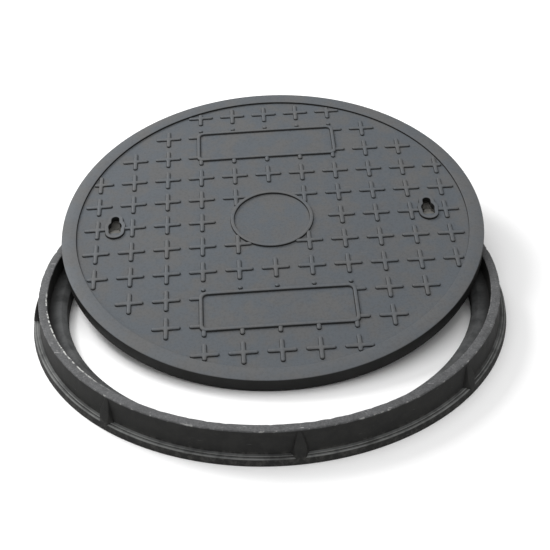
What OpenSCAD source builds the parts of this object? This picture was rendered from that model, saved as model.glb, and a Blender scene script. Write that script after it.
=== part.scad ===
// Round composite manhole cover lying, tilted and pushed back, on its frame.
// Units are millimetres and +Z is up. The origin is the centre of the frame's base, on the ground.
// +Y is the way the cover is pushed back. The cover is designed flat, underside on Z = 0, and
// then laid on the frame by on_frame().

/* [Cover] */
// Radius of the cover
cover_r = 325; // [260:1:400]
// Thickness of the cover at its edge
cover_edge = 23; // [18:0.5:30]
// Height of the camber at the middle of the top face
camber = 4.5; // [0:0.5:8]
// Chamfer around the bottom edge
edge_chamfer = 1; // [0.5:0.5:4]
// Width of the raised band around the top face
band_w = 23; // [15:0.5:35]
// Height of the band, the ring and the borders over the field
border_rise = 3.2; // [1:0.1:4]

/* [Tread] */
// Distance between neighbouring crosses
tread_pitch = 54; // [45:1:70]
// Length of one cross, tip to tip
cross_len = 42; // [30:1:44]
// Width of an arm of a cross
cross_w = 7; // [4:0.5:10]
// Height of a cross over the field
cross_rise = 2.6; // [1:0.1:4]
// Outer radius of the ring in the middle
ring_r = 64.5; // [50:0.5:75]
// Width of the ring's border
ring_w = 6.5; // [4:0.5:10]
// Length of a name panel
panel_l = 230; // [180:1:260]
// Width of a name panel
panel_w = 77; // [60:1:90]
// Distance of a panel's middle from the cover's edge
panel_inset = 136; // [125:1:150]
// Width of a panel's border
panel_border = 6.5; // [4:0.5:10]
// Radius of a panel's outer corners
panel_corner = 10; // [7:0.5:14]

/* [Keyholes] */
// Distance of a keyhole from the cover's edge
key_inset = 82; // [77:1:95]
// Radius of the keyhole's wide middle
key_mid_r = 10.2; // [8:0.1:12]
// Radius of the narrow lobe at the back
key_back_r = 6.3; // [4:0.1:8]
// Radius of the front lobe, over the ramp
key_front_r = 9.3; // [7:0.1:11]
// Border of the raised pad around a keyhole
key_border = 5.8; // [4:0.1:8]
// Slope of the ramp, in degrees
ramp_slope = 20; // [12:1:30]
// Wall of the pocket under a keyhole
pocket_wall = 3; // [2:0.5:5]

/* [Underside] */
// Thickness of the top skin between the ribs, under the field at the edge
skin = 7; // [6:0.5:10]
// Width of a rib
rib_w = 14; // [11:0.5:20]
// Width of the solid edge around the ribs
solid_edge = 37; // [33:1:50]
// Distance of the outermost rib along X from the solid edge
last_rib_inset = 63; // [50:1:80]
// Distance of a keyhole from the nearest rib along Y
key_to_rib = 43; // [40:1:60]
// Diameter of a reinforcing bar
bar_d = 6; // [4:0.5:7]
// Diameter of the cover's steel hoop
hoop_d = 8; // [5:0.5:9]
// Distance of the cover's steel hoop from the cover's edge
hoop_inset = 25; // [22:1:32]
// Resin left under the lower bars
bar_cover = 2.5; // [2:0.5:4]
// Resin left between the two layers of bars
layer_gap = 1; // [0.5:0.1:2]

/* [Seal] */
// Width of the rubber seal
seal_w = 5; // [3:0.5:8]
// Depth of the seal's groove
seal_groove = 3; // [2:0.5:5]
// Height by which the seal stands out of the underside
seal_proud = 1.5; // [0.5:0.1:3]
// Distance of the seal from the cover's edge
seal_inset = 9; // [6:0.5:14]

/* [Frame] */
// Height of the frame
frame_h = 48; // [44:1:75]
// Width of the seat under the cover, edge of the cover to the clear opening
seat_w = 25; // [20:1:40]
// Width of the sloping shoulder inside the seat
shoulder_w = 9; // [4:0.5:12]
// Width of the rim's top face
rim_w = 13; // [10:0.5:20]
// Draft of the outer wall, top to foot
wall_draft = 2.5; // [0:0.5:5]
// Width of the flange outside the wall's foot
flange_w = 10.5; // [9:0.5:30]
// Height of the flange at its outer edge
flange_h = 10; // [8:0.5:16]
// Height of the step on the flange
flange_step = 1.5; // [0.5:0.1:3]
// Number of gussets around the wall
gussets = 8; // [4:1:12]
// Angle of the first gusset, in degrees
gusset_turn = 9.7; // [0:0.1:45]
// Width of a gusset at the wall's foot
gusset_w = 24; // [14:1:30]
// Width of a gusset at the flange's outer edge
gusset_nose = 10; // [5:0.5:14]
// Width of a gusset near its top
gusset_tip = 7; // [4:0.5:12]
// Diameter of the hoop in the rim
rim_hoop_d = 5; // [3:0.5:6]
// Diameter of the hoop in the base
base_hoop_d = 7; // [4:0.5:8]

/* [Resting place] */
// Distance of the cover's middle behind the frame's middle
cover_back = 113; // [60:1:140]
// Turn of the tread about the cover's own axis, in degrees
cover_turn = 5.8; // [0:0.1:90]

/* [Hidden] */
$fn = 96;

// Clearances
edge_clearance = 1;      // cover's edge to the frame's seat wall, cover closed
rest_gap = 0.3;          // cover to the frame, and to the ground, where it lies
pocket_clearance = 0.2;  // pocket to its well, all round
slack = 1;               // extra reach of a cutter past the face it cuts
root = 1;                // how far a raised feature's foot sinks into the field
tread_margin = 2;        // tread to the foot of the band

// Colours
moulded_grey = [0.40, 0.41, 0.42];
frame_grey = [0.22, 0.22, 0.23];
rubber_black = [0.06, 0.06, 0.06];
bare_steel = [0.55, 0.55, 0.57];

// Top face of the cover
rings = 5;                               // straight steps that stand in for the camber's curve
top_chamfer = 1;                         // chamfer around the top edge
band_slope = 0.5;                        // run of the band's inner face, foot to top
field_edge = cover_edge - border_rise;   // height of the field's surface, run out to the edge
field_r = cover_r - band_w;              // radius of the sunk field
tread_reach = floor(field_r / tread_pitch);
bottom_r = cover_r - edge_chamfer;
panel_y = cover_r - panel_inset;
function field_z(r) = field_edge + camber * (1 - pow(r / cover_r, 2));

// Keyholes, in their own frame: back is +Y
key_x = cover_r - key_inset;
key_back_y = 19.8;                       // middle of the narrow lobe
key_mid_y = 4;                           // middle of the wide part
key_front_y = -7.2;                      // middle of the front lobe
tongue_w = 10;                           // width of the ramp where it runs between the side lobes
tongue_y = 8;                            // where the ramp ends
ramp_drop = 1.2;                         // step from the pad's top down to the ramp's high end
key_top = field_z(key_x) + border_rise;

// Pocket under a keyhole
pocket_in = [28, 50];
pocket_y = 5;
pocket_corner = 5;
pocket_out = pocket_in + [2 * pocket_wall, 2 * pocket_wall];
pocket_roof = cover_edge - skin;         // underside of the skin over the pocket
pocket_lift = 0.5;                       // pocket's floor above the underside
boss_wall = 5;                           // solid left around a pocket's well

// Ribs and bars
ribs_a_side = 3;                         // ribs on each side of the middle, both ways
rib_h = field_edge - skin;
ribbed_r = cover_r - solid_edge;
hoop_r = cover_r - hoop_inset;
first_rib_y = pocket_y + pocket_out[1] / 2 + boss_wall + rib_w / 2;
rib_step_y = (ribbed_r - last_rib_inset - first_rib_y) / (ribs_a_side - 1);
rib_step_x = (key_x - key_to_rib) / (ribs_a_side - 0.5);
function both_sides(v) = concat([for (i = [len(v) - 1 : -1 : 0]) -v[i]], v);
cross_rib_y = both_sides([for (i = [0 : ribs_a_side - 1]) first_rib_y + i * rib_step_y]);
long_rib_x = both_sides([for (i = [0 : ribs_a_side - 1]) (i + 0.5) * rib_step_x]);
low_bar_z = bar_cover + bar_d / 2;
high_bar_z = low_bar_z + bar_d + layer_gap;
hoop_z = bar_cover + hoop_d;
raised_foot = max(field_edge - root, high_bar_z + bar_d / 2);    // clear of the bars
bar_end_gap = 0.5;                       // bar's end to the hoop
bar_end_r = hoop_r - hoop_d / 2 - bar_end_gap;
function bar_half(off) = sqrt(pow(bar_end_r, 2) - pow(abs(off) + bar_d / 2, 2));

// Seal
seal_out_r = cover_r - seal_inset;
seal_in_r = seal_out_r - seal_w;

// Frame
clear_r = cover_r - seat_w;
rim_in_r = cover_r + edge_clearance;
rim_out_r = rim_in_r + rim_w;
foot_r = rim_out_r + wall_draft;
flange_r = foot_r + flange_w;
flange_draft = 2;
step_w = 5;                              // width of the flange's inner step
step_z = flange_h + flange_step;
seat_z = frame_h - cover_edge - seal_proud;
seat_corner = edge_chamfer;              // chamfer in the corner of the seat
seat_in_r = clear_r + shoulder_w;        // where the flat seat ends and its sloping shoulder starts
shoulder_h = 6;                          // fall of the shoulder to the clear opening
rim_edge = 0.8;                          // chamfer on the rim's two top edges
rim_hoop_drop = 9;                       // rim's top face to the middle of its hoop
rim_hoop_z = frame_h - rim_hoop_drop;
rim_hoop_r = rim_in_r + rim_w / 2;
base_hoop_z = 9;
base_hoop_in = 12.75;                    // middle of the hoop in from the wall's foot
base_hoop_r = foot_r - base_hoop_in;
gusset_top_z = frame_h - 2;
gusset_toe = 1.5;                        // from a gusset's nose to the flange's outer edge
gusset_bulge = 1.2;                      // 1 for a straight ridge, more for one that bulges out

// Where the cover lies: its bottom edge meets the rim's inner edge on both sides, and its front
// edge comes down to the ground. meet() is how far in front of the cover's middle it meets the rim,
// as a share of bottom_r.
function meet(tilt) =
    let (
        a = -pow(bottom_r * sin(tilt), 2),
        b = 2 * cover_back * bottom_r * cos(tilt),
        c = pow(bottom_r, 2) + pow(cover_back, 2) - pow(rim_in_r, 2)
    )
    (-b + sqrt(pow(b, 2) - 4 * a * c)) / (2 * a);
function settled(tilt, tries) =
    tries == 0 ? tilt : settled(
        asin((frame_h - seal_proud * cos(tilt)) / (seal_out_r + bottom_r * meet(tilt))), tries - 1);
first_guess = 10;
guesses = 12;
cover_tilt = settled(first_guess, guesses);
cover_z = frame_h + rest_gap - meet(cover_tilt) * bottom_r * sin(cover_tilt);

// ---- placing ----

module on_frame() {
    translate([0, cover_back, cover_z])
        rotate([cover_tilt, 0, 0])
            rotate([0, 0, cover_turn])
                children();
}

// side is -1 for the left keyhole and 1 for the right
module at_key(side) {
    translate([side * key_x, 0, 0]) children();
}

// ---- outlines ----

module rounded(size, corner) {
    union() {
        square([size[0] - 2 * corner, size[1]], center = true);
        square([size[0], size[1] - 2 * corner], center = true);
        for (x = [-1, 1], y = [-1, 1])
            translate([x * (size[0] / 2 - corner), y * (size[1] / 2 - corner)])
                circle(corner, $fn = 32);
    }
}

module cross_outline() {
    arm = (cross_len - cross_w) / 2;
    for (turn = [0, 90])
        rotate(turn) {
            square([2 * arm, cross_w], center = true);
            for (x = [-arm, arm]) translate([x, 0]) circle(cross_w / 2, $fn = 24);
        }
}

// keyhole's outline, grown by the width of the pad's border
module key_outline(grow) {
    mid = key_mid_r + grow;
    back = key_back_r + grow;
    front = key_front_r + grow;
    translate([0, key_mid_y]) circle(mid, $fn = 48);
    translate([0, key_back_y]) circle(back, $fn = 48);
    translate([0, key_front_y]) circle(front, $fn = 48);
    translate([-back, key_mid_y]) square([2 * back, key_back_y - key_mid_y]);
    translate([-front, key_front_y]) square([2 * front, key_mid_y - key_front_y]);
}

module ramp_outline() {
    translate([0, key_front_y]) circle(key_front_r + slack, $fn = 48);
    translate([-tongue_w / 2, key_front_y]) square([tongue_w, tongue_y - key_front_y]);
}

module panel_outline(inset) {
    rounded([panel_l - 2 * inset, panel_w - 2 * inset], panel_corner - inset / 2);
}

// whether a cross at this distance from the middle is part of the tread
function in_tread(r) = r > ring_r && r < field_r - cross_w;

module tread_outline() {
    difference() {
        intersection() {
            for (i = [-tread_reach : tread_reach], j = [-tread_reach : tread_reach])
                if (in_tread(norm([i, j]) * tread_pitch))
                    translate([i, j] * tread_pitch) cross_outline();
            circle(field_r - tread_margin, $fn = 180);
        }
        circle(ring_r - ring_w / 2);
        for (y = [-1, 1])
            translate([0, y * panel_y]) panel_outline(panel_border / 2);
        for (side = [-1, 1])
            translate([side * key_x, 0]) key_outline(key_border / 2);
    }
}

module border_outline() {
    for (y = [-1, 1])
        translate([0, y * panel_y])
            difference() {
                panel_outline(0);
                panel_outline(panel_border);
            }
    for (side = [-1, 1])
        translate([side * key_x, 0]) key_outline(key_border);
}

// ---- cover ----

// everything under a cambered surface that lies rise above the field
module under_camber(rise) {
    rotate_extrude($fn = 180)
        polygon(concat(
            [[0, 0]],
            [[field_r, 0]],
            [for (i = [rings : -1 : 0]) let (r = field_r * i / rings) [r, field_z(r) + rise]]
        ));
}

module cover_blank() {
    band_r = field_r + band_slope;
    rotate_extrude($fn = 180)
        polygon(concat(
            [[0, 0], [bottom_r, 0], [cover_r, edge_chamfer]],
            [[cover_r, cover_edge - top_chamfer], [cover_r - top_chamfer, cover_edge]],
            [[band_r, field_z(band_r) + border_rise], [field_r, field_z(field_r)]],
            [for (i = [rings : -1 : 0])
                let (r = ring_r + (field_r - ring_r) * i / rings) if (i < rings) [r, field_z(r)]],
            [[ring_r, field_z(ring_r) + border_rise]],
            [[ring_r - ring_w, field_z(ring_r) + border_rise]],
            [[ring_r - ring_w, field_z(ring_r - ring_w)], [0, field_z(0)]]
        ));
}

module raised(rise) {
    intersection() {
        under_camber(rise);
        translate([0, 0, raised_foot]) linear_extrude(camber + border_rise + 2 * root) children();
    }
}

module rib_cells() {
    linear_extrude(rib_h + slack)
        difference() {
            circle(ribbed_r, $fn = 180);
            for (y = cross_rib_y) translate([0, y]) square([2 * cover_r, rib_w], center = true);
            for (x = long_rib_x) translate([x, 0]) square([rib_w, 2 * cover_r], center = true);
            for (side = [-1, 1])
                translate([side * key_x, pocket_y])
                    rounded(pocket_out + [2 * boss_wall, 2 * boss_wall], pocket_corner);
        }
}

module pocket_well() {
    grown = [2 * pocket_clearance, 2 * pocket_clearance];
    translate([0, pocket_y, -slack])
        linear_extrude(pocket_roof + slack) rounded(pocket_out + grown, pocket_corner);
}

module keyhole() {
    high_end = key_front_y - key_front_r;
    difference() {
        translate([0, 0, pocket_roof - slack])
            linear_extrude(key_top - pocket_roof + 2 * slack) key_outline(0);
        intersection() {
            translate([0, 0, pocket_roof - 2 * slack])
                linear_extrude(key_top - pocket_roof + 4 * slack) ramp_outline();
            translate([0, high_end, key_top - ramp_drop])
                rotate([-ramp_slope, 0, 0])
                    translate([-cover_edge, -cover_edge, -3 * cover_edge]) cube(3 * cover_edge * [1, 1, 1]);
        }
    }
}

// the bar in the rib that lies off from the cover's middle, along X or, lengthwise, along Y
module bar(off, lengthwise) {
    half = bar_half(off);
    turn = lengthwise ? -90 : 0;
    rotate([0, 0, turn])
        translate([-half, off, lengthwise ? high_bar_z : low_bar_z])
            rotate([0, 90, 0]) cylinder(r = bar_d / 2, h = 2 * half, $fn = 24);
}

module hoop(r, d, z) {
    rotate_extrude($fn = 180) translate([r, z]) circle(d / 2, $fn = 24);
}

module seal_ring(bottom, top) {
    rotate_extrude($fn = 180) translate([seal_in_r, bottom]) square([seal_w, top - bottom]);
}

module cover_plate() {
    color(moulded_grey)
        on_frame() {
            difference() {
                union() {
                    cover_blank();
                    raised(border_rise) border_outline();
                }
                translate([0, 0, -slack]) rib_cells();
                seal_ring(-slack, seal_groove);
                for (side = [-1, 1])
                    at_key(side) {
                        pocket_well();
                        keyhole();
                    }
                for (y = cross_rib_y) bar(y, false);
                for (x = long_rib_x) bar(x, true);
                hoop(hoop_r, hoop_d, hoop_z);
            }
            raised(cross_rise) tread_outline();
        }
}

module cover_seal() {
    color(rubber_black) on_frame() seal_ring(-seal_proud, seal_groove);
}

module key_pocket(side) {
    color(moulded_grey)
        on_frame() at_key(side)
            translate([0, pocket_y, pocket_lift])
                difference() {
                    linear_extrude(pocket_roof - pocket_lift) rounded(pocket_out, pocket_corner);
                    translate([0, 0, pocket_wall])
                        linear_extrude(pocket_roof) rounded(pocket_in, pocket_corner - pocket_wall / 2);
                }
}

module cover_hoop() {
    color(bare_steel) on_frame() hoop(hoop_r, hoop_d, hoop_z);
}

module cross_bar(n) {
    color(bare_steel) on_frame() bar(cross_rib_y[n - 1], false);
}

module long_bar(n) {
    color(bare_steel) on_frame() bar(long_rib_x[n - 1], true);
}

// ---- frame ----

module frame_section() {
    polygon([
        [clear_r, 0],
        [flange_r, 0],
        [flange_r - flange_draft, flange_h],
        [foot_r + step_w, flange_h],
        [foot_r + step_w, step_z],
        [foot_r, step_z],
        [rim_out_r, frame_h - rim_edge],
        [rim_out_r - rim_edge, frame_h],
        [rim_in_r + rim_edge, frame_h],
        [rim_in_r, frame_h - rim_edge],
        [rim_in_r, seat_z + seat_corner],
        [rim_in_r - seat_corner, seat_z],
        [seat_in_r, seat_z],
        [clear_r, seat_z - shoulder_h]
    ]);
}

// Where a side view, a front view and a plan of the same gusset meet
module gusset() {
    nose_r = flange_r - gusset_toe;
    wall_r = rim_out_r - rim_w / 2;
    slope = [nose_r - rim_out_r, gusset_top_z - flange_h];
    intersection() {
        rotate([90, 0, 0])
            translate([0, 0, -gusset_w])
                linear_extrude(2 * gusset_w)
                    polygon(concat(
                        [[wall_r, gusset_top_z], [wall_r, flange_h / 2], [nose_r, flange_h / 2]],
                        [for (up = [0 : 3])
                            [nose_r - slope[0] * pow(up / 3, gusset_bulge), flange_h + slope[1] * up / 3]]
                    ));
        translate([wall_r, 0, 0])
            rotate([90, 0, 90])
                linear_extrude(nose_r - wall_r)
                    polygon([
                        [-gusset_w / 2, 0],
                        [gusset_w / 2, 0],
                        [gusset_w / 2, flange_h],
                        [gusset_tip / 2, gusset_top_z - gusset_tip / 2],
                        [gusset_tip / 4, gusset_top_z],
                        [-gusset_tip / 4, gusset_top_z],
                        [-gusset_tip / 2, gusset_top_z - gusset_tip / 2],
                        [-gusset_w / 2, flange_h]
                    ]);
        linear_extrude(frame_h)
            polygon([
                [wall_r, -gusset_w / 2],
                [foot_r, -gusset_w / 2],
                [nose_r, -gusset_nose / 2],
                [nose_r, gusset_nose / 2],
                [foot_r, gusset_w / 2],
                [wall_r, gusset_w / 2]
            ]);
    }
}

module frame_ring() {
    color(frame_grey)
        difference() {
            union() {
                rotate_extrude($fn = 180) frame_section();
                for (i = [0 : gussets - 1])
                    rotate([0, 0, gusset_turn + i * 360 / gussets]) gusset();
            }
            hoop(rim_hoop_r, rim_hoop_d, rim_hoop_z);
            hoop(base_hoop_r, base_hoop_d, base_hoop_z);
        }
}

module frame_rim_hoop() {
    color(bare_steel) hoop(rim_hoop_r, rim_hoop_d, rim_hoop_z);
}

module frame_base_hoop() {
    color(bare_steel) hoop(base_hoop_r, base_hoop_d, base_hoop_z);
}

cover_plate();
cover_seal();
key_pocket(-1);  // left_key_pocket
key_pocket(1);  // right_key_pocket
cover_hoop();
cross_bar(1);  // cross_bar_1
cross_bar(2);  // cross_bar_2
cross_bar(3);  // cross_bar_3
cross_bar(4);  // cross_bar_4
cross_bar(5);  // cross_bar_5
cross_bar(6);  // cross_bar_6
long_bar(1);  // long_bar_1
long_bar(2);  // long_bar_2
long_bar(3);  // long_bar_3
long_bar(4);  // long_bar_4
long_bar(5);  // long_bar_5
long_bar(6);  // long_bar_6
frame_ring();
frame_rim_hoop();
frame_base_hoop();
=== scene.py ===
"""A round composite manhole cover lying, tilted and pushed back, on its flanged frame.

Shapes are drawn in millimetres. Cover pieces are drawn flat, underside on Z = 0, and COVER_PLACE
lays them on the frame. FRAME_PLACE only turns millimetres into metres.
"""

import math

import bmesh
import bpy
from mathutils import Matrix, Vector, noise


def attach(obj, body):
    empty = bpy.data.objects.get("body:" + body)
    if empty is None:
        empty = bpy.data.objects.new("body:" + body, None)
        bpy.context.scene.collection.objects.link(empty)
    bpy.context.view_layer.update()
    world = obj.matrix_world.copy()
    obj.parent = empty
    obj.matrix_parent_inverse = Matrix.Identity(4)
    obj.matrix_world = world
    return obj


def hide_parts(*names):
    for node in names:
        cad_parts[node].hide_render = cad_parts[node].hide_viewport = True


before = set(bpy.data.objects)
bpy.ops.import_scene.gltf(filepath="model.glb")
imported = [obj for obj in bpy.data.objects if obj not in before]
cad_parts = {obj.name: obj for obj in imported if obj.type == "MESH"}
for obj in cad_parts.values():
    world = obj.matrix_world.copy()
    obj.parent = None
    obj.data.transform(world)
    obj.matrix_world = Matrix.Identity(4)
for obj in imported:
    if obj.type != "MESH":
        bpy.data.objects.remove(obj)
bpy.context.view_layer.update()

MM = 0.001
CREASE = math.radians(38)  # edges sharper than this are shaded sharp

# ---- sizes of the cover, in millimetres ----

COVER_R = 325
COVER_EDGE = 23
EDGE_CHAMFER = 1
CAMBER = 4.5
BAND_W = 23
BORDER_RISE = 3.2
FIELD_R = COVER_R - BAND_W
FIELD_EDGE = COVER_EDGE - BORDER_RISE

PITCH = 54
CROSS_LEN = 42
CROSS_W = 7
WHOLE_ARMS = (CROSS_LEN / 2,) * 4
BAND_GAP = 1       # between a shortened arm and the band
STUD_BACK = 5      # from a panel to the middle of a stud behind it
RING_R = 64.5
RING_W = 6.5

PANEL_L = 230
PANEL_W = 77
PANEL_Y = COVER_R - 136
PANEL_BORDER = 6.5
PANEL_CORNER = 10

KEY_X = COVER_R - 82
KEY_MID_R, KEY_MID_Y = 10.2, 4
KEY_BACK_R, KEY_BACK_Y = 6.3, 19.8
KEY_FRONT_R, KEY_FRONT_Y = 9.3, -7.2
KEY_BORDER = 5.8
TONGUE_FRONT_W, TONGUE_BACK_W = 14.4, 8.6
TONGUE_Y = 8
RAMP_SLOPE = math.radians(20)
RAMP_DROP = 1.2

SKIN = 7
RIB_H = FIELD_EDGE - SKIN
RIB_W = 14
RIBBED_R = COVER_R - 37
CROSS_RIBS = (45, 135, 225)
LONG_RIBS = (40, 120, 200)
WELL = (34.4, 56.4)
WELL_Y = 5
WELL_CORNER = 5
WELL_ROOF = COVER_EDGE - SKIN
BOSS_WALL = 5
SEAL_OUT_R = COVER_R - 9
SEAL_IN_R = SEAL_OUT_R - 5
SEAL_PROUD = 1.5
GROOVE = 3

# ---- sizes of the frame, in millimetres ----

FRAME_H = 48
SEAT_W = 25
SHOULDER_H = 6
EDGE_CLEARANCE = 1
RIM_W = 13
WALL_DRAFT = 2.5
FLANGE_W = 10.5
CLEAR_R = COVER_R - SEAT_W
RIM_IN_R = COVER_R + EDGE_CLEARANCE
RIM_OUT_R = RIM_IN_R + RIM_W
FOOT_R = RIM_OUT_R + WALL_DRAFT
FLANGE_R = FOOT_R + FLANGE_W
FLANGE_H = 10
STEP_R = FOOT_R + 5
STEP_Z = FLANGE_H + 1.5
SEAT_Z = FRAME_H - COVER_EDGE - SEAL_PROUD
SEAT_IN_R = CLEAR_R + 9
GUSSETS = 8
GUSSET_TURN = math.radians(9.7)
GUSSET_W = 24
GUSSET_NOSE = 10
GUSSET_TIP = 7
GUSSET_BULGE = 1.2  # 1 for a straight ridge
GUSSET_TOP = FRAME_H - 2

# ---- where the cover lies ----

COVER_BACK = 113
COVER_TURN = math.radians(5.8)
REST_GAP = 0.3
BOTTOM_R = COVER_R - EDGE_CHAMFER


def meeting(tilt):
    """How far in front of its middle the cover meets the rim, as a share of BOTTOM_R."""
    a = -((BOTTOM_R * math.sin(tilt)) ** 2)
    b = 2 * COVER_BACK * BOTTOM_R * math.cos(tilt)
    c = BOTTOM_R**2 + COVER_BACK**2 - RIM_IN_R**2
    return (-b + math.sqrt(b * b - 4 * a * c)) / (2 * a)


def settled_tilt(guess=math.radians(10), tries=12):
    """Tilt at which the cover meets the rim and the ground at the same time."""
    tilt = guess
    for _ in range(tries):
        reach = SEAL_OUT_R + BOTTOM_R * meeting(tilt)
        tilt = math.asin((FRAME_H - SEAL_PROUD * math.cos(tilt)) / reach)
    return tilt


COVER_TILT = settled_tilt()
COVER_Z = FRAME_H + REST_GAP - meeting(COVER_TILT) * BOTTOM_R * math.sin(COVER_TILT)

FRAME_PLACE = Matrix.Scale(MM, 4)
COVER_PLACE = (
    FRAME_PLACE
    @ Matrix.Translation((0, COVER_BACK, COVER_Z))
    @ Matrix.Rotation(COVER_TILT, 4, "X")
    @ Matrix.Rotation(COVER_TURN, 4, "Z")
)


def field_z(radius):
    """Height of the cover's cambered field at a distance from its middle."""
    return FIELD_EDGE + CAMBER * (1 - (radius / COVER_R) ** 2)


# ---- finishes ----


class Wire:
    """A value in a finish. Arithmetic on wires adds Math nodes."""

    def __init__(self, finish, socket):
        self.finish = finish
        self.socket = socket

    def maths(self, operation, *values):
        return self.finish.add("ShaderNodeMath", {"operation": operation}, dict(enumerate(values)))

    def __add__(self, other):
        return self.maths("ADD", self, other)

    def __radd__(self, other):
        return self.maths("ADD", other, self)

    def __sub__(self, other):
        return self.maths("SUBTRACT", self, other)

    def __rsub__(self, other):
        return self.maths("SUBTRACT", other, self)

    def __mul__(self, other):
        return self.maths("MULTIPLY", self, other)

    def __rmul__(self, other):
        return self.maths("MULTIPLY", other, self)

    def __truediv__(self, other):
        return self.maths("DIVIDE", self, other)

    def __pow__(self, other):
        return self.maths("POWER", self, other)

    def __abs__(self):
        return self.maths("ABSOLUTE", self)


class Finish:
    """A material that is put together node by node."""

    def __init__(self, name):
        self.material = bpy.data.materials.new(name)
        self.material.use_nodes = True
        self.tree = self.material.node_tree
        self.tree.nodes.clear()

    def add(self, kind, settings=None, values=None, out=0):
        """Add a node. Settings are its own properties, values go to its sockets."""
        node = self.tree.nodes.new(kind)
        for name, value in (settings or {}).items():
            setattr(node, name, value)
        for name, value in (values or {}).items():
            if isinstance(value, Wire):
                self.tree.links.new(value.socket, node.inputs[name])
            else:
                node.inputs[name].default_value = value
        return Wire(self, node.outputs[out]) if len(node.outputs) else None

    def ramp(self, value, low, high):
        """0 below low, 1 above high, smooth between; low may be the larger one."""
        return self.add(
            "ShaderNodeMapRange",
            {"interpolation_type": "SMOOTHSTEP"},
            {"Value": value, "From Min": low, "From Max": high},
        )

    def line(self, value, middle, half):
        """1 where value is at the middle, 0 from half away."""
        return self.ramp(abs(value - middle), half, half * 0.3)

    def mix(self, factor, first, second):
        """A colour between two others."""
        kind = {"data_type": "RGBA"}
        return self.add("ShaderNodeMix", kind, {0: factor, 6: first, 7: second}, out=2)

    def noise(self, place, size, detail=3, roughness=0.55, stretch=(1, 1, 1)):
        """Cloudy noise whose lumps are about size metres across."""
        spread = self.add(
            "ShaderNodeVectorMath", {"operation": "MULTIPLY"}, {0: place, 1: stretch}
        )
        values = {"Vector": spread, "Scale": 1 / size, "Detail": detail, "Roughness": roughness}
        return self.add("ShaderNodeTexNoise", None, values)

    def place(self):
        """Place on the resting object, in metres."""
        return self.add("ShaderNodeTexCoord", None, None, out=3)

    def facing(self):
        """Direction that the surface faces."""
        return self.add("ShaderNodeNewGeometry", None, None, out=1)

    def split(self, vector):
        """The three numbers of a vector."""
        node = self.tree.nodes.new("ShaderNodeSeparateXYZ")
        self.tree.links.new(vector.socket, node.inputs[0])
        return [Wire(self, socket) for socket in node.outputs]

    def finish(self, colour, roughness, height, bump, specular=0.3, metallic=0.0):
        """Close the finish with a surface. Height, in metres, becomes its bump."""
        normal = self.add(
            "ShaderNodeBump", None, {"Height": height, "Strength": bump, "Distance": 1.0}
        )
        shader = self.add(
            "ShaderNodeBsdfPrincipled",
            None,
            {
                "Base Color": colour,
                "Roughness": roughness,
                "Normal": normal,
                "Specular IOR Level": specular,
                "Metallic": metallic,
            },
        )
        self.add("ShaderNodeOutputMaterial", None, {"Surface": shader})
        return self.material


def cover_axes(finish):
    """Place on the flat cover, in metres, and how much the surface faces the cover's own up."""
    place = finish.place()
    lay = COVER_PLACE @ Matrix.Scale(1 / MM, 4)
    flat = finish.add(
        "ShaderNodeMapping",
        {"vector_type": "TEXTURE"},
        {"Vector": place, "Location": lay.translation, "Rotation": lay.to_euler("XYZ")},
    )
    facing = finish.facing()
    up = finish.add(
        "ShaderNodeVectorMath",
        {"operation": "DOT_PRODUCT"},
        {0: facing, 1: lay.to_3x3() @ Vector((0, 0, 1))},
        out=1,
    )
    return flat, up


def moulded_cover():
    """Dark moulded composite, its upward faces dusty and scuffed by feet and partly lightened by
    painted top light, its sides left dark as painted shade.
    """
    f = Finish("moulded_cover_composite")
    flat, up = cover_axes(f)
    x, y, z = f.split(flat)
    radius_2 = x * x + y * y
    # Upward-facing mask: the grey it brings is partly dust and partly painted top light; faces
    # turned away stay dark as painted shade.
    top = f.ramp(up, 0.25, 0.93)
    height = z - (FIELD_EDGE + CAMBER) * MM + radius_2 * (CAMBER * MM / (COVER_R * MM) ** 2)
    crest = f.ramp(height, 1.2 * MM, 2.6 * MM)

    clouds = f.noise(flat, 0.11, 4)
    patches = f.noise(flat, 0.035, 4, 0.6)
    grain = f.noise(flat, 0.0035, 3, 0.6)
    pores = f.noise(flat, 0.0009, 2, 0.6)

    dark = (0.0105, 0.0106, 0.0102, 1)
    cool = (0.078, 0.088, 0.099, 1)
    warm = (0.093, 0.094, 0.095, 1)
    # Grey of the upward faces: dust with patches, and partly painted top light.
    dust_and_top_light = f.mix(f.ramp(patches, 0.38, 0.64), cool, warm)
    dust_and_top_light = f.mix(f.ramp(clouds, 0.35, 0.7) * 0.3, dust_and_top_light, (0.076, 0.082, 0.090, 1))
    dust_and_top_light = f.mix(crest * 0.25, dust_and_top_light, (0.096, 0.097, 0.098, 1))
    grit = f.ramp(height, -0.6 * MM, -2.5 * MM)
    dust_and_top_light = f.mix(grit, dust_and_top_light, (0.112, 0.109, 0.100, 1))
    spread = 0.86 + 0.24 * f.ramp(grain, 0.3, 0.7) - 0.12 * f.ramp(pores, 0.55, 0.75)
    # Painted top light and dust: upward faces grey, sides near black.
    colour = f.mix(top * spread, dark, dust_and_top_light)

    scuff = f.ramp(f.noise(flat, 0.02, 5, 0.7, (0.25, 3.2, 1)), 0.66, 0.72)
    scuff = scuff * f.ramp(clouds, 0.5, 0.62) * top
    colour = f.mix(scuff * 0.3, colour, (0.16, 0.16, 0.158, 1))

    roughness = 0.66 - 0.12 * crest + 0.1 * f.ramp(patches, 0.3, 0.7) - 0.05 * scuff
    relief = grain * (0.10 * MM) + pores * (0.05 * MM) + patches * (0.12 * MM)
    return f.finish(colour, roughness, relief, 0.9, specular=0.22)


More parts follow.
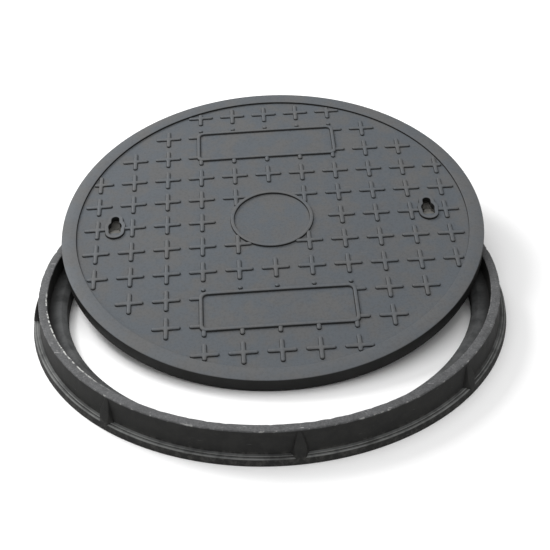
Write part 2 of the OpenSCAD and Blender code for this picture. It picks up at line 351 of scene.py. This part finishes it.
def moulded_frame():
    """Dark moulded composite with a scraped rim and dusty ledges; upward faces are partly
    lightened by painted top light and sides left dark as painted shade.
    """
    f = Finish("moulded_frame_composite")
    place = f.place()
    x, y, z = f.split(place)
    up = f.split(f.facing())[2]
    radius = (x * x + y * y) ** 0.5
    # Upward-facing mask: the ledge grey it brings is partly dust and partly painted top light.
    top = f.ramp(up, 0.35, 0.95)
    rim = f.ramp(z, (FRAME_H - 3) * MM, (FRAME_H - 0.8) * MM)
    flange = f.ramp(z, (STEP_Z + 5) * MM, (STEP_Z + 1) * MM)
    edge = f.ramp(abs(radius - (RIM_IN_R + RIM_OUT_R) / 2 * MM), 5.0 * MM, 6.4 * MM)

    clouds = f.noise(place, 0.07, 4)
    patches = f.noise(place, 0.018, 5, 0.65)
    grain = f.noise(place, 0.0028, 4, 0.65)
    pores = f.noise(place, 0.0009, 2, 0.6)
    chips = f.noise(place, 0.009, 6, 0.75)
    worn_here = f.ramp(patches, 0.35, 0.65)

    dark = f.mix(worn_here, (0.0125, 0.0125, 0.0122, 1), (0.021, 0.021, 0.020, 1))
    ledge = f.mix(f.ramp(patches, 0.3, 0.65), (0.044, 0.046, 0.047, 1), (0.088, 0.090, 0.091, 1))
    shaded = f.ramp(radius, (RIM_IN_R - 14) * MM, RIM_IN_R * MM)
    ledge = f.mix(shaded, ledge, (0.016, 0.016, 0.016, 1))
    low = f.mix(f.ramp(patches, 0.3, 0.65), (0.060, 0.062, 0.062, 1), (0.120, 0.123, 0.121, 1))
    ledge = f.mix(flange, ledge, low)
    # Painted top light and dust: upward faces take the ledge grey, sides stay dark.
    colour = f.mix(top * (0.35 + 0.65 * f.ramp(clouds, 0.3, 0.6)), dark, ledge)
    # Lighter lines along the flange and step edges: painted edge highlight, partly edge wear.
    lip_wear_and_highlight = f.line(radius, (FLANGE_R - 3) * MM, 1.6 * MM)
    lip_wear_and_highlight = lip_wear_and_highlight + f.line(radius, (STEP_R - 1) * MM, 1.2 * MM)
    colour = f.mix(lip_wear_and_highlight * flange * top * (0.25 + 0.45 * worn_here), colour, (0.22, 0.225, 0.22, 1))
    side = flange * (1 - top) * f.ramp(chips, 0.46, 0.6)
    colour = f.mix(side * 0.5, colour, (0.062, 0.060, 0.056, 1))

    scraped = f.mix(f.ramp(grain, 0.3, 0.7), (0.066, 0.067, 0.070, 1), (0.112, 0.113, 0.115, 1))
    colour = f.mix(rim * (0.7 + 0.3 * f.ramp(patches, 0.35, 0.6)), colour, scraped)
    # Light marks on the rim's edges: chips, and partly a painted edge highlight.
    chip = f.ramp(chips, 0.55, 0.63) * rim * edge
    colour = f.mix(chip * 0.75, colour, (0.36, 0.36, 0.35, 1))
    spots = f.ramp(f.noise(place, 0.006, 4, 0.65), 0.6, 0.68) * rim
    colour = f.mix(spots * 0.45, colour, (0.24, 0.24, 0.235, 1))
    left = f.ramp(x, -0.18, -0.26) * f.ramp(y, -0.035, -0.075)
    scrape = f.line(radius, (RIM_IN_R + 1.2) * MM, 1.6 * MM) * left
    scrape = scrape * f.ramp(chips, 0.46, 0.54) * rim
    colour = f.mix(scrape, colour, (0.52, 0.52, 0.50, 1))
    stroke = f.ramp(f.noise(place, 0.012, 3, 0.55, (0.45, 2.6, 1)), 0.68, 0.72) * rim
    colour = f.mix(stroke * 0.7, colour, (0.40, 0.40, 0.40, 1))
    streak = f.ramp(f.noise(place, 0.03, 5, 0.7, (0.4, 3.5, 6)), 0.64, 0.7)
    colour = f.mix(streak * 0.22, colour, (0.16, 0.155, 0.145, 1))

    roughness = 0.7 - 0.12 * rim + 0.14 * f.ramp(patches, 0.3, 0.7)
    relief = grain * (0.22 * MM) + pores * (0.06 * MM) + patches * (0.35 * MM) - chip * (0.12 * MM)
    return f.finish(colour, roughness, relief, 0.9, specular=0.22)


def seal_rubber():
    """Matt black rubber with a chalky bloom."""
    f = Finish("black_seal_rubber")
    place = f.place()
    bloom = f.ramp(f.noise(place, 0.012, 4, 0.6), 0.4, 0.7)
    fine = f.noise(place, 0.0012, 3)
    colour = f.mix(bloom * 0.6, (0.011, 0.011, 0.011, 1), (0.035, 0.035, 0.036, 1))
    return f.finish(colour, 0.74 + 0.14 * bloom, fine * (0.06 * MM), 0.8)


def bar_steel():
    """Drawn reinforcing steel, a little rusted."""
    f = Finish("drawn_bar_steel")
    place = f.place()
    rust = f.ramp(f.noise(place, 0.009, 5, 0.65), 0.5, 0.66)
    fine = f.noise(place, 0.001, 3)
    colour = f.mix(rust, (0.36, 0.36, 0.37, 1), (0.16, 0.065, 0.028, 1))
    return f.finish(colour, 0.38 + 0.4 * rust, fine * (0.05 * MM), 0.7, 0.5, 1 - rust)


def pale_floor():
    """Plain pale ground."""
    f = Finish("plain_pale_floor")
    place = f.place()
    fine = f.noise(place, 0.004, 2)
    return f.finish((0.93, 0.93, 0.93, 1), 0.85, fine * (0.02 * MM), 0.3)


# ---- making shapes ----


def piece_from(shape, name, place, body, material, crease=CREASE):
    """Turn a closed shape into a piece that rides on a body."""
    bmesh.ops.remove_doubles(shape, verts=shape.verts, dist=0.001)
    bmesh.ops.recalc_face_normals(shape, faces=shape.faces)
    bmesh.ops.transform(shape, matrix=place, verts=shape.verts)
    mesh = bpy.data.meshes.new(name)
    shape.to_mesh(mesh)
    shape.free()
    mesh.materials.append(material)
    mesh.shade_smooth()
    mesh.set_sharp_from_angle(angle=crease)
    piece = bpy.data.objects.new(name, mesh)
    bpy.context.scene.collection.objects.link(piece)
    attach(piece, body)
    return piece


def eased(corners, steps=3):
    """A section whose corners, given as (x, z, round), are rounded by that much."""
    points = []
    count = len(corners)
    for i, (x, z, ease) in enumerate(corners):
        corner = Vector((x, z))
        if not ease:
            points.append(corner)
            continue
        before = Vector(corners[i - 1][:2])
        after = Vector(corners[(i + 1) % count][:2])
        start = corner + (before - corner).normalized() * ease
        end = corner + (after - corner).normalized() * ease
        for step in range(steps + 1):
            t = step / steps
            points.append(start.lerp(corner, t).lerp(corner.lerp(end, t), t))
    return points


def spun(section, turns=256, closed=True):
    """Spin a section of (radius, height) points about Z."""
    shape = bmesh.new()
    verts = [shape.verts.new((x, 0, z)) for x, z in section]
    pairs = zip(verts, verts[1:] + verts[:1]) if closed else zip(verts, verts[1:])
    edges = [shape.edges.new(pair) for pair in pairs]
    bmesh.ops.spin(
        shape,
        geom=verts + edges,
        cent=(0, 0, 0),
        axis=(0, 0, 1),
        angle=2 * math.pi,
        steps=turns,
        use_merge=True,
    )
    return shape


def bridged(loops, ends_meet):
    """Join rings of points, each with as many points as the next, into a skin."""
    shape = bmesh.new()
    rings = []
    for loop in loops:
        verts = [shape.verts.new(point) for point in loop]
        rings.append([shape.edges.new(pair) for pair in zip(verts, verts[1:] + verts[:1])])
    pairs = zip(rings, rings[1:] + rings[:1]) if ends_meet else zip(rings, rings[1:])
    for first, second in pairs:
        bmesh.ops.bridge_loops(shape, edges=first + second)
    if not ends_meet:
        for ring in (rings[0], rings[-1]):
            bmesh.ops.edgeloop_fill(shape, edges=ring)
    return shape


def added(shape, other):
    """Put a second shape into the first one."""
    mesh = bpy.data.meshes.new("part")
    other.to_mesh(mesh)
    other.free()
    shape.from_mesh(mesh)
    bpy.data.meshes.remove(mesh)


def moved(shape, matrix):
    bmesh.ops.transform(shape, matrix=matrix, verts=shape.verts)
    return shape


def rounded_box(length, width, corner, steps=6):
    """Points round a box with round corners, seen from above."""
    points = []
    for quarter, (sx, sy) in enumerate(((1, 1), (-1, 1), (-1, -1), (1, -1))):
        for step in range(steps + 1):
            a = (quarter + step / steps) * math.pi / 2
            points.append(
                Vector((
                    sx * (length / 2 - corner) + corner * math.cos(a),
                    sy * (width / 2 - corner) + corner * math.sin(a),
                ))
            )
    return points


def lobe_reach(direction, lobe_y, lobe_r):
    """From the keyhole's middle to the edge of the lobe that runs to lobe_y, along direction."""
    x, y = direction
    along = lobe_y - KEY_MID_Y
    if y * along <= 0:
        return lobe_r
    side = lobe_r / max(abs(x), 1e-9)
    if abs(y) * side <= abs(along):
        return side
    toward = y * along
    return toward + math.sqrt(max(toward * toward - along * along + lobe_r * lobe_r, 0))


def keyhole_outline(grow, points=96):
    """Points round a keyhole that is grown by a border, its inner corners softened."""
    soften = 14
    loop = []
    for i in range(points):
        a = 2 * math.pi * i / points
        direction = (math.cos(a), math.sin(a))
        reaches = (
            KEY_MID_R + grow,
            lobe_reach(direction, KEY_BACK_Y, KEY_BACK_R + grow),
            lobe_reach(direction, KEY_FRONT_Y, KEY_FRONT_R + grow),
        )
        longest = max(reaches)
        reach = longest * sum((r / longest) ** soften for r in reaches) ** (1 / soften)
        reach = min(reach, longest + 0.6)
        loop.append(Vector((direction[0] * reach, KEY_MID_Y + direction[1] * reach)))
    return loop


def on_camber(points, rise, centre=(0, 0)):
    """Raise points from their outline to a height over the cambered field."""
    raised = []
    for point in points:
        x, y = point[0] + centre[0], point[1] + centre[1]
        raised.append((x, y, field_z(math.hypot(x, y)) + rise))
    return raised


RIDGE = (
    # inset as a share of the width, and height as a share of the rise, from foot to crown
    (-0.10, -0.35),
    (-0.03, 0.02),
    (0.05, 0.28),
    (0.10, 0.72),
    (0.16, 0.90),
    (0.26, 1.0),
)


def ridge_levels(width, rise):
    """Inset and height of the rings that make a rounded ridge, over its outer side."""
    return [(width * inset, rise * height) for inset, height in RIDGE]


# ---- cover ----

COVER = "cover"
FRAME = "frame"
cover_finish = moulded_cover()
frame_finish = moulded_frame()


def cover_section():
    """Half a section of the cover, without its ribs, from the middle of the top to the cells."""
    band_r = FIELD_R + 0.5
    ring_z = field_z(RING_R) + BORDER_RISE
    foot_in = RING_R - RING_W
    corners = [(radius, field_z(radius), 0) for radius in (0, 20, 40)]
    corners += [
        (foot_in, field_z(foot_in), 0.5),
        (foot_in + 0.7, ring_z, 0.9),
        (RING_R - 0.7, ring_z, 0.9),
        (RING_R, field_z(RING_R), 0.5),
    ]
    corners += [(radius, field_z(radius), 0) for radius in range(80, 300, 20)]
    corners += [
        (FIELD_R, field_z(FIELD_R), 0.5),
        (band_r, field_z(band_r) + BORDER_RISE, 0.7),
        (COVER_R - 0.1, COVER_EDGE, 1.3),
        (COVER_R, EDGE_CHAMFER, 0.4),
        (BOTTOM_R, 0, 0.4),
        (SEAL_OUT_R, 0, 0.2),
        (SEAL_OUT_R, GROOVE, 0),
        (SEAL_IN_R, GROOVE, 0),
        (SEAL_IN_R, 0, 0.2),
        (RIBBED_R + 0.6, 0, 1.0),
        (RIBBED_R, RIB_H, 2.0),
        (0, RIB_H, 0),
    ]
    return eased(corners)


def prism(outline, low, high, centre=(0, 0)):
    """An upright block of that outline."""
    loops = [[(p[0] + centre[0], p[1] + centre[1], z) for p in outline] for z in (low, high)]
    return bridged(loops, False)


def cut_away(piece, shape):
    """Cut a shape, drawn in millimetres like the piece, out of the piece."""
    bmesh.ops.recalc_face_normals(shape, faces=shape.faces)
    bmesh.ops.transform(shape, matrix=COVER_PLACE, verts=shape.verts)
    mesh = bpy.data.meshes.new("cutter")
    shape.to_mesh(mesh)
    shape.free()
    cutter = bpy.data.objects.new("cutter", mesh)
    bpy.context.scene.collection.objects.link(cutter)
    cut = piece.modifiers.new("cut", "BOOLEAN")
    cut.operation = "DIFFERENCE"
    cut.solver = "EXACT"
    cut.object = cutter
    bpy.context.view_layer.update()
    whole = piece.evaluated_get(bpy.context.evaluated_depsgraph_get())
    piece.data = bpy.data.meshes.new_from_object(whole)
    piece.modifiers.clear()
    bpy.data.objects.remove(cutter)
    bpy.data.meshes.remove(mesh)


def cover_body():
    """The cover's moulding: top face, band, ring, edge and the solid rim of its underside."""
    shape = spun(cover_section(), closed=False)
    piece = piece_from(shape, "cover_moulding", COVER_PLACE, COVER, cover_finish)
    for side in (-1, 1):
        centre = (side * KEY_X, 0)
        cut_away(piece, prism(keyhole_outline(KEY_BORDER / 2), RIB_H - 2, COVER_EDGE + 9, centre))
        well = rounded_box(WELL[0], WELL[1], WELL_CORNER)
        cut_away(piece, prism(well, -2, WELL_ROOF, (side * KEY_X, WELL_Y)))
    piece.data.shade_smooth()
    piece.data.set_sharp_from_angle(angle=CREASE)
    return piece


def raised(outline):
    """A raised shape with that outline, its foot in the field and its crown well rounded."""
    shape = bmesh.new()
    foot = shape.faces.new([shape.verts.new((x, y, -1)) for x, y in outline])
    made = bmesh.ops.extrude_face_region(shape, geom=[foot], use_keep_orig=True)["geom"]
    top = next(item for item in made if isinstance(item, bmesh.types.BMFace))
    bmesh.ops.translate(shape, verts=top.verts, vec=(0, 0, 1.1))
    top.normal_update()
    for inset, rise in ((0.3, 1.0), (0.4, 0.65), (0.55, 0.45), (0.7, 0.28), (0.75, 0.12)):
        bmesh.ops.inset_region(
            shape, faces=[top], thickness=inset, depth=rise, use_even_offset=True
        )
    return shape


def cross_shape(arms):
    """One raised cross whose four arms, counted round from +X, reach that far."""
    half = CROSS_W / 2
    fillet = 1.1
    tip_steps = 8
    outline = []
    for quarter, arm in enumerate(arms):
        turn = Matrix.Rotation(quarter * math.pi / 2, 2)
        for step in range(tip_steps + 1):
            a = -math.pi / 2 + math.pi * step / tip_steps
            outline.append(turn @ Vector((arm - half + half * math.cos(a), half * math.sin(a))))
        outline.append(turn @ Vector((half + fillet, half)))
        outline.append(turn @ Vector((half + 0.3 * fillet, half + 0.3 * fillet)))
        outline.append(turn @ Vector((half, half + fillet)))
    return raised(outline)


def stud_shape():
    """A round stud as wide as an arm of a cross."""
    turns = [2 * math.pi * step / 20 for step in range(20)]
    return raised([Vector((math.cos(a), math.sin(a))) * CROSS_W / 2 for a in turns])


def cut_off(shape, point, away):
    """Take off what lies on the far side of an upright plane, and close the cut."""
    cut = bmesh.ops.bisect_plane(
        shape,
        geom=shape.verts[:] + shape.edges[:] + shape.faces[:],
        plane_co=point,
        plane_no=away,
        clear_outer=True,
    )["geom_cut"]
    edges = [item for item in cut if isinstance(item, bmesh.types.BMEdge)]
    if edges:
        bmesh.ops.holes_fill(shape, edges=edges)
    return shape


def arm_lengths(x, y):
    """How far the arms of the cross at x, y reach: in full, or just short of the band."""
    half = CROSS_W / 2
    tip_r = FIELD_R - BAND_GAP - half
    arms = []
    for along, across in ((x, y), (y, x), (-x, y), (-y, x)):
        arms.append(min(CROSS_LEN / 2, math.sqrt(tip_r**2 - across**2) - along + half))
    return arms


def round_panel(x, y):
    """What is left of a cross that stands in a name panel: stubs at its front and sides, and
    studs behind it."""
    border = PANEL_BORDER / 2
    panel_y = math.copysign(PANEL_Y, y)
    parts = []
    front_edge = panel_y - PANEL_W / 2 - y
    if front_edge > 1 - CROSS_LEN / 2:
        parts.append(cut_off(cross_shape(WHOLE_ARMS), (0, front_edge + border, 0), (0, 1, 0)))
    rear_edge = panel_y + PANEL_W / 2 - y
    if rear_edge < CROSS_LEN / 2 - 1:
        parts.append(moved(stud_shape(), Matrix.Translation((0, rear_edge + STUD_BACK, 0))))
    side_edge = PANEL_L / 2 - abs(x)
    if side_edge < CROSS_LEN / 2 - 1:
        out = math.copysign(1, x)
        cross = cross_shape(WHOLE_ARMS)
        parts.append(cut_off(cross, (out * (side_edge - border), 0, 0), (-out, 0, 0)))
    return parts


def beside_keyhole(x):
    """A cross of the middle row, cut short where it runs into a keyhole's pad."""
    out = math.copysign(1, x)
    toward = 1 if abs(x) < KEY_X else -1
    reach = abs(KEY_X - abs(x)) - KEY_MID_R - KEY_BORDER / 2
    cross = cross_shape(WHOLE_ARMS)
    return cut_off(cross, (out * toward * reach, 0, 0), (out * toward, 0, 0))


def tread():
    """The grid of crosses, left out inside the panels, the ring and the band."""
    shape = bmesh.new()
    reach = int(FIELD_R // PITCH)
    for column in range(-reach, reach + 1):
        for row in range(-reach, reach + 1):
            x, y = column * PITCH, row * PITCH
            if not RING_R < math.hypot(x, y) < FIELD_R - CROSS_W:
                continue
            if abs(abs(y) - PANEL_Y) < PANEL_W / 2 and abs(x) < PANEL_L / 2:
                parts = round_panel(x, y)
            elif row == 0 and abs(abs(x) - KEY_X) < PITCH:
                parts = [beside_keyhole(x)]
            else:
                parts = [cross_shape(arm_lengths(x, y))]
            for part in parts:
                added(shape, moved(part, Matrix.Translation((x, y, 0))))
    for vert in shape.verts:
        vert.co.z += field_z(vert.co.xy.length)
    bmesh.ops.recalc_face_normals(shape, faces=shape.faces)
    return piece_from(shape, "tread_crosses", COVER_PLACE, COVER, cover_finish)


def panel_border(name, side):
    """The raised border round a blank name panel."""
    outer = ridge_levels(PANEL_BORDER, BORDER_RISE)
    levels = outer + [(PANEL_BORDER - inset, rise) for inset, rise in reversed(outer)]
    loops = []
    for inset, rise in levels:
        corner = PANEL_CORNER - inset / 2
        outline = rounded_box(PANEL_L - 2 * inset, PANEL_W - 2 * inset, corner)
        straight = []
        for here, there in zip(outline, outline[1:] + outline[:1]):
            cuts = 12 if (there - here).length > PANEL_BORDER * 2 else 1
            straight += [here.lerp(there, i / cuts) for i in range(cuts)]
        loops.append(on_camber(straight, rise, (0, side * PANEL_Y)))
    shape = bridged(loops, True)
    return piece_from(shape, name, COVER_PLACE, COVER, cover_finish)


def keyhole_surround(name, side):
    """The raised pad round a keyhole, with the keyhole's wall, and the ramp in its front lobe."""
    key_top = field_z(KEY_X) + BORDER_RISE
    skin_z = WELL_ROOF + 0.05
    outer = [(-inset, rise) for inset, rise in ridge_levels(KEY_BORDER * 0.55, BORDER_RISE)]
    levels = [(KEY_BORDER + inset, rise) for inset, rise in outer]
    loops = [
        on_camber(keyhole_outline(grow), rise, (side * KEY_X, 0)) for grow, rise in levels
    ]
    for grow, drop in ((0.5, 0.0), (0.22, 0.07), (0.06, 0.22), (0.0, 0.5)):
        outline = keyhole_outline(grow)
        loops.append([(p.x + side * KEY_X, p.y, key_top - drop) for p in outline])
    for grow in (0.0, KEY_BORDER):
        outline = keyhole_outline(grow)
        loops.append([(p.x + side * KEY_X, p.y, skin_z) for p in outline])
    shape = bridged(loops, True)
    added(shape, ramp(side, key_top, skin_z))
    return piece_from(shape, name, COVER_PLACE, COVER, cover_finish)


def ramp(side, key_top, low):
    """The tongue that slopes down from the front of a keyhole to its middle."""
    reach = KEY_FRONT_R + 1
    steps = 20
    outline = [Vector((-TONGUE_BACK_W / 2, TONGUE_Y))]
    start = math.acos(-TONGUE_FRONT_W / 2 / reach)
    for step in range(steps + 1):
        a = start + (3 * math.pi - 2 * start) * step / steps
        outline.append(Vector((reach * math.cos(a), KEY_FRONT_Y + reach * math.sin(a))))
    outline.append(Vector((TONGUE_BACK_W / 2, TONGUE_Y)))
    high_end = KEY_FRONT_Y - KEY_FRONT_R

    def slope_z(point):
        return key_top - RAMP_DROP - (point.y - high_end) * math.tan(RAMP_SLOPE)

    middle = Vector((0, KEY_FRONT_Y))
    loops = [[(p.x + side * KEY_X, p.y, low) for p in outline]]
    for inset, drop in ((0.0, 0.9), (0.25, 0.3), (0.9, 0.0)):
        loop = []
        for p in outline:
            q = p + (middle - p).normalized() * inset
            loop.append((q.x + side * KEY_X, q.y, slope_z(q) - drop))
        loops.append(loop)
    return bridged(loops, False)


def rib(length, off, lengthwise):
    """A straight rib of the underside, with eased bottom edges."""
    shape = bmesh.new()
    bmesh.ops.create_cube(shape, size=1)
    bmesh.ops.scale(shape, verts=shape.verts, vec=(length, RIB_W, RIB_H + 1))
    bmesh.ops.translate(shape, verts=shape.verts, vec=(0, 0, (RIB_H + 1) / 2))
    low = [edge for edge in shape.edges if all(v.co.z < 1 for v in edge.verts)]
    long_low = [edge for edge in low if abs(edge.verts[0].co.x - edge.verts[1].co.x) > 1]
    bmesh.ops.bevel(
        shape, geom=long_low, offset=1.2, segments=3, profile=0.5, affect="EDGES", material=-1
    )
    turn = Matrix.Rotation(-math.pi / 2 if lengthwise else 0, 4, "Z")
    return moved(shape, turn @ Matrix.Translation((0, off, 0)))


def underside_ribs():
    """The grid of ribs, and the bosses round the wells of the key pockets."""
    shape = bmesh.new()
    for ribs, lengthwise in ((CROSS_RIBS, False), (LONG_RIBS, True)):
        for distance in ribs:
            for off in (-distance, distance):
                half = math.sqrt((RIBBED_R + 4) ** 2 - (distance + RIB_W / 2) ** 2)
                added(shape, rib(2 * half, off, lengthwise))
    outer = (WELL[0] + 2 * BOSS_WALL, WELL[1] + 2 * BOSS_WALL)
    for side in (-1, 1):
        centre = (side * KEY_X, WELL_Y)
        rings = (
            (outer, 0, RIB_H + 1),
            (outer, 0, 1.2),
            (outer, 1.2, 0),
            (WELL, -0.8, 0),
            (WELL, 0, 0.8),
            (WELL, 0, RIB_H + 1),
        )
        loops = []
        for (length, width), inset, z in rings:
            outline = rounded_box(length - 2 * inset, width - 2 * inset, WELL_CORNER)
            loops.append([(p.x + centre[0], p.y + centre[1], z) for p in outline])
        added(shape, bridged(loops, True))
    return piece_from(shape, "underside_ribs", COVER_PLACE, COVER, cover_finish)


# ---- frame ----


def frame_section():
    return eased([
        (CLEAR_R, 0, 0.8),
        (FLANGE_R, 0, 1.0),
        (FLANGE_R - 2, FLANGE_H, 1.6),
        (STEP_R, FLANGE_H, 0.6),
        (STEP_R - 0.3, STEP_Z, 0.7),
        (FOOT_R, STEP_Z, 1.2),
        (RIM_OUT_R, FRAME_H, 1.3),
        (RIM_IN_R, FRAME_H, 1.2),
        (RIM_IN_R, SEAT_Z, 1.0),
        (SEAT_IN_R, SEAT_Z, 1.0),
        (CLEAR_R, SEAT_Z - SHOULDER_H, 1.5),
    ])


def worn(shape, depth):
    """Knock the rim's edges about a little: points near them move in by uneven amounts."""
    for vert in shape.verts:
        radius = vert.co.xy.length
        near_edge = min(abs(radius - RIM_IN_R), abs(radius - RIM_OUT_R)) < 1.6
        if near_edge and vert.co.z > FRAME_H - 1.8:
            chip = max(noise.noise(vert.co * 0.09) + 0.5 * noise.noise(vert.co * 0.31), 0)
            toward = (RIM_IN_R + RIM_OUT_R) / 2 - radius
            out = vert.co.xy.normalized() * math.copysign(depth * chip, toward)
            vert.co.x += out.x
            vert.co.y += out.y
            vert.co.z -= depth * 0.6 * chip
    return shape


def frame_body():
    shape = worn(spun(frame_section(), turns=512), 1.1)
    piece = piece_from(shape, "frame_moulding", FRAME_PLACE, FRAME, frame_finish)
    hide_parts("frame_ring")
    return piece


def gusset():
    """One buttress on the frame's wall: an almost straight ridge with a round top."""
    wall_r = RIM_OUT_R - 4
    nose_r = FLANGE_R - 1.5
    round_z = GUSSET_TOP - GUSSET_TIP / 2
    levels = [(nose_r, FLANGE_H - 3, GUSSET_W / 2)]
    for climb in (0, 0.1, 0.25, 0.4, 0.55, 0.7, 0.82, 0.9, 0.94, 0.97, 0.99, 1):
        z = FLANGE_H + (GUSSET_TOP - FLANGE_H) * climb
        up = max(z - round_z, 0) / (GUSSET_TIP / 2)
        taper = min((z - FLANGE_H) / (round_z - FLANGE_H), 1)
        half = GUSSET_W / 2 + (GUSSET_TIP - GUSSET_W) / 2 * taper
        half = max(half * math.sqrt(max(1 - up * up, 0)), 0.4)
        levels.append((nose_r - (nose_r - RIM_OUT_R) * climb**GUSSET_BULGE, z, half))
    loops = []
    for reach, z, half in levels:
        narrowing = (GUSSET_W - 2 * half) / (GUSSET_W - GUSSET_NOSE)
        bend = min(FOOT_R + (nose_r - FOOT_R) * narrowing, reach - 1.2)
        nose = half - (GUSSET_W - GUSSET_NOSE) / 2 * max(reach - bend - 1.2, 0) / (nose_r - FOOT_R)
        nose = min(nose, half)
        section = eased([
            (wall_r, -half, 0),
            (bend, -half, 0.2),
            (reach, -nose, min(1.2, nose * 0.5)),
            (reach, nose, min(1.2, nose * 0.5)),
            (bend, half, 0.2),
            (wall_r, half, 0),
        ])
        loops.append([(x, y, z) for x, y in section])
    return bridged(loops, False)


def gusset_ring():
    shape = bmesh.new()
    for i in range(GUSSETS):
        turn = Matrix.Rotation(GUSSET_TURN + i * 2 * math.pi / GUSSETS, 4, "Z")
        added(shape, moved(gusset(), turn))
    return piece_from(shape, "frame_gussets", FRAME_PLACE, FRAME, frame_finish)


# ---- the object ----

cover_moulding = cover_body()
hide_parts("cover_plate")
tread()
panel_border("rear_panel_border", 1)
panel_border("front_panel_border", -1)
keyhole_surround("left_keyhole_pad", -1)
keyhole_surround("right_keyhole_pad", 1)
underside_ribs()
frame_body()
gusset_ring()

rubber = seal_rubber()
steel = bar_steel()
for name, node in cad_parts.items():
    if name in ("cover_plate", "frame_ring"):
        continue
    if name == "cover_seal":
        finish = rubber
    elif name.endswith("key_pocket"):
        finish = cover_finish
    else:
        finish = steel
    node.data.materials.clear()
    node.data.materials.append(finish)

# ---- floor, lights and camera ----


def floor():
    shape = bmesh.new()
    bmesh.ops.create_grid(shape, x_segments=4, y_segments=4, size=6)
    mesh = bpy.data.meshes.new("floor")
    shape.to_mesh(mesh)
    shape.free()
    mesh.materials.append(pale_floor())
    ground = bpy.data.objects.new("floor", mesh)
    bpy.context.scene.collection.objects.link(ground)


def softbox(name, place, aim, size, power):
    """A square area light that looks at a point."""
    data = bpy.data.lights.new(name, "AREA")
    data.size = size
    data.energy = power
    light = bpy.data.objects.new(name, data)
    bpy.context.scene.collection.objects.link(light)
    light.location = place
    light.rotation_euler = (Vector(aim) - Vector(place)).to_track_quat("-Z", "Y").to_euler()


def surroundings(brightness):
    world = bpy.data.worlds.new("studio")
    world.use_nodes = True
    world.node_tree.nodes["Background"].inputs["Color"].default_value = (1, 1, 1, 1)
    world.node_tree.nodes["Background"].inputs["Strength"].default_value = brightness
    bpy.context.scene.world = world


def camera():
    """The camera looks down at the frame from the front, rolled a little to the right."""
    place = Vector((0.1060, -1.4013, 1.0209))
    aim = Vector((0.0095, 0.0005, 0.05))
    roll = math.radians(1.79)
    data = bpy.data.cameras.new("camera")
    data.sensor_width = 36
    data.lens = 75.26
    viewer = bpy.data.objects.new("camera", data)
    bpy.context.scene.collection.objects.link(viewer)
    viewer.location = place
    turn = (aim - place).to_track_quat("-Z", "Y").to_matrix().to_4x4()
    viewer.rotation_euler = (turn @ Matrix.Rotation(-roll, 4, "Z")).to_euler()
    bpy.context.scene.camera = viewer


floor()
surroundings(0.55)
softbox("rear_softbox", (-1.8, 1.3, 1.8), (0, 0, 0), 1.1, 62)
softbox("top_softbox", (-0.3, 0.3, 3.2), (0, 0, 0), 2.6, 50)
softbox("front_fill", (-0.8, -2.5, 1.6), (0, 0, 0), 1.6, 7)
camera()
bpy.context.scene.view_settings.view_transform = "Standard"
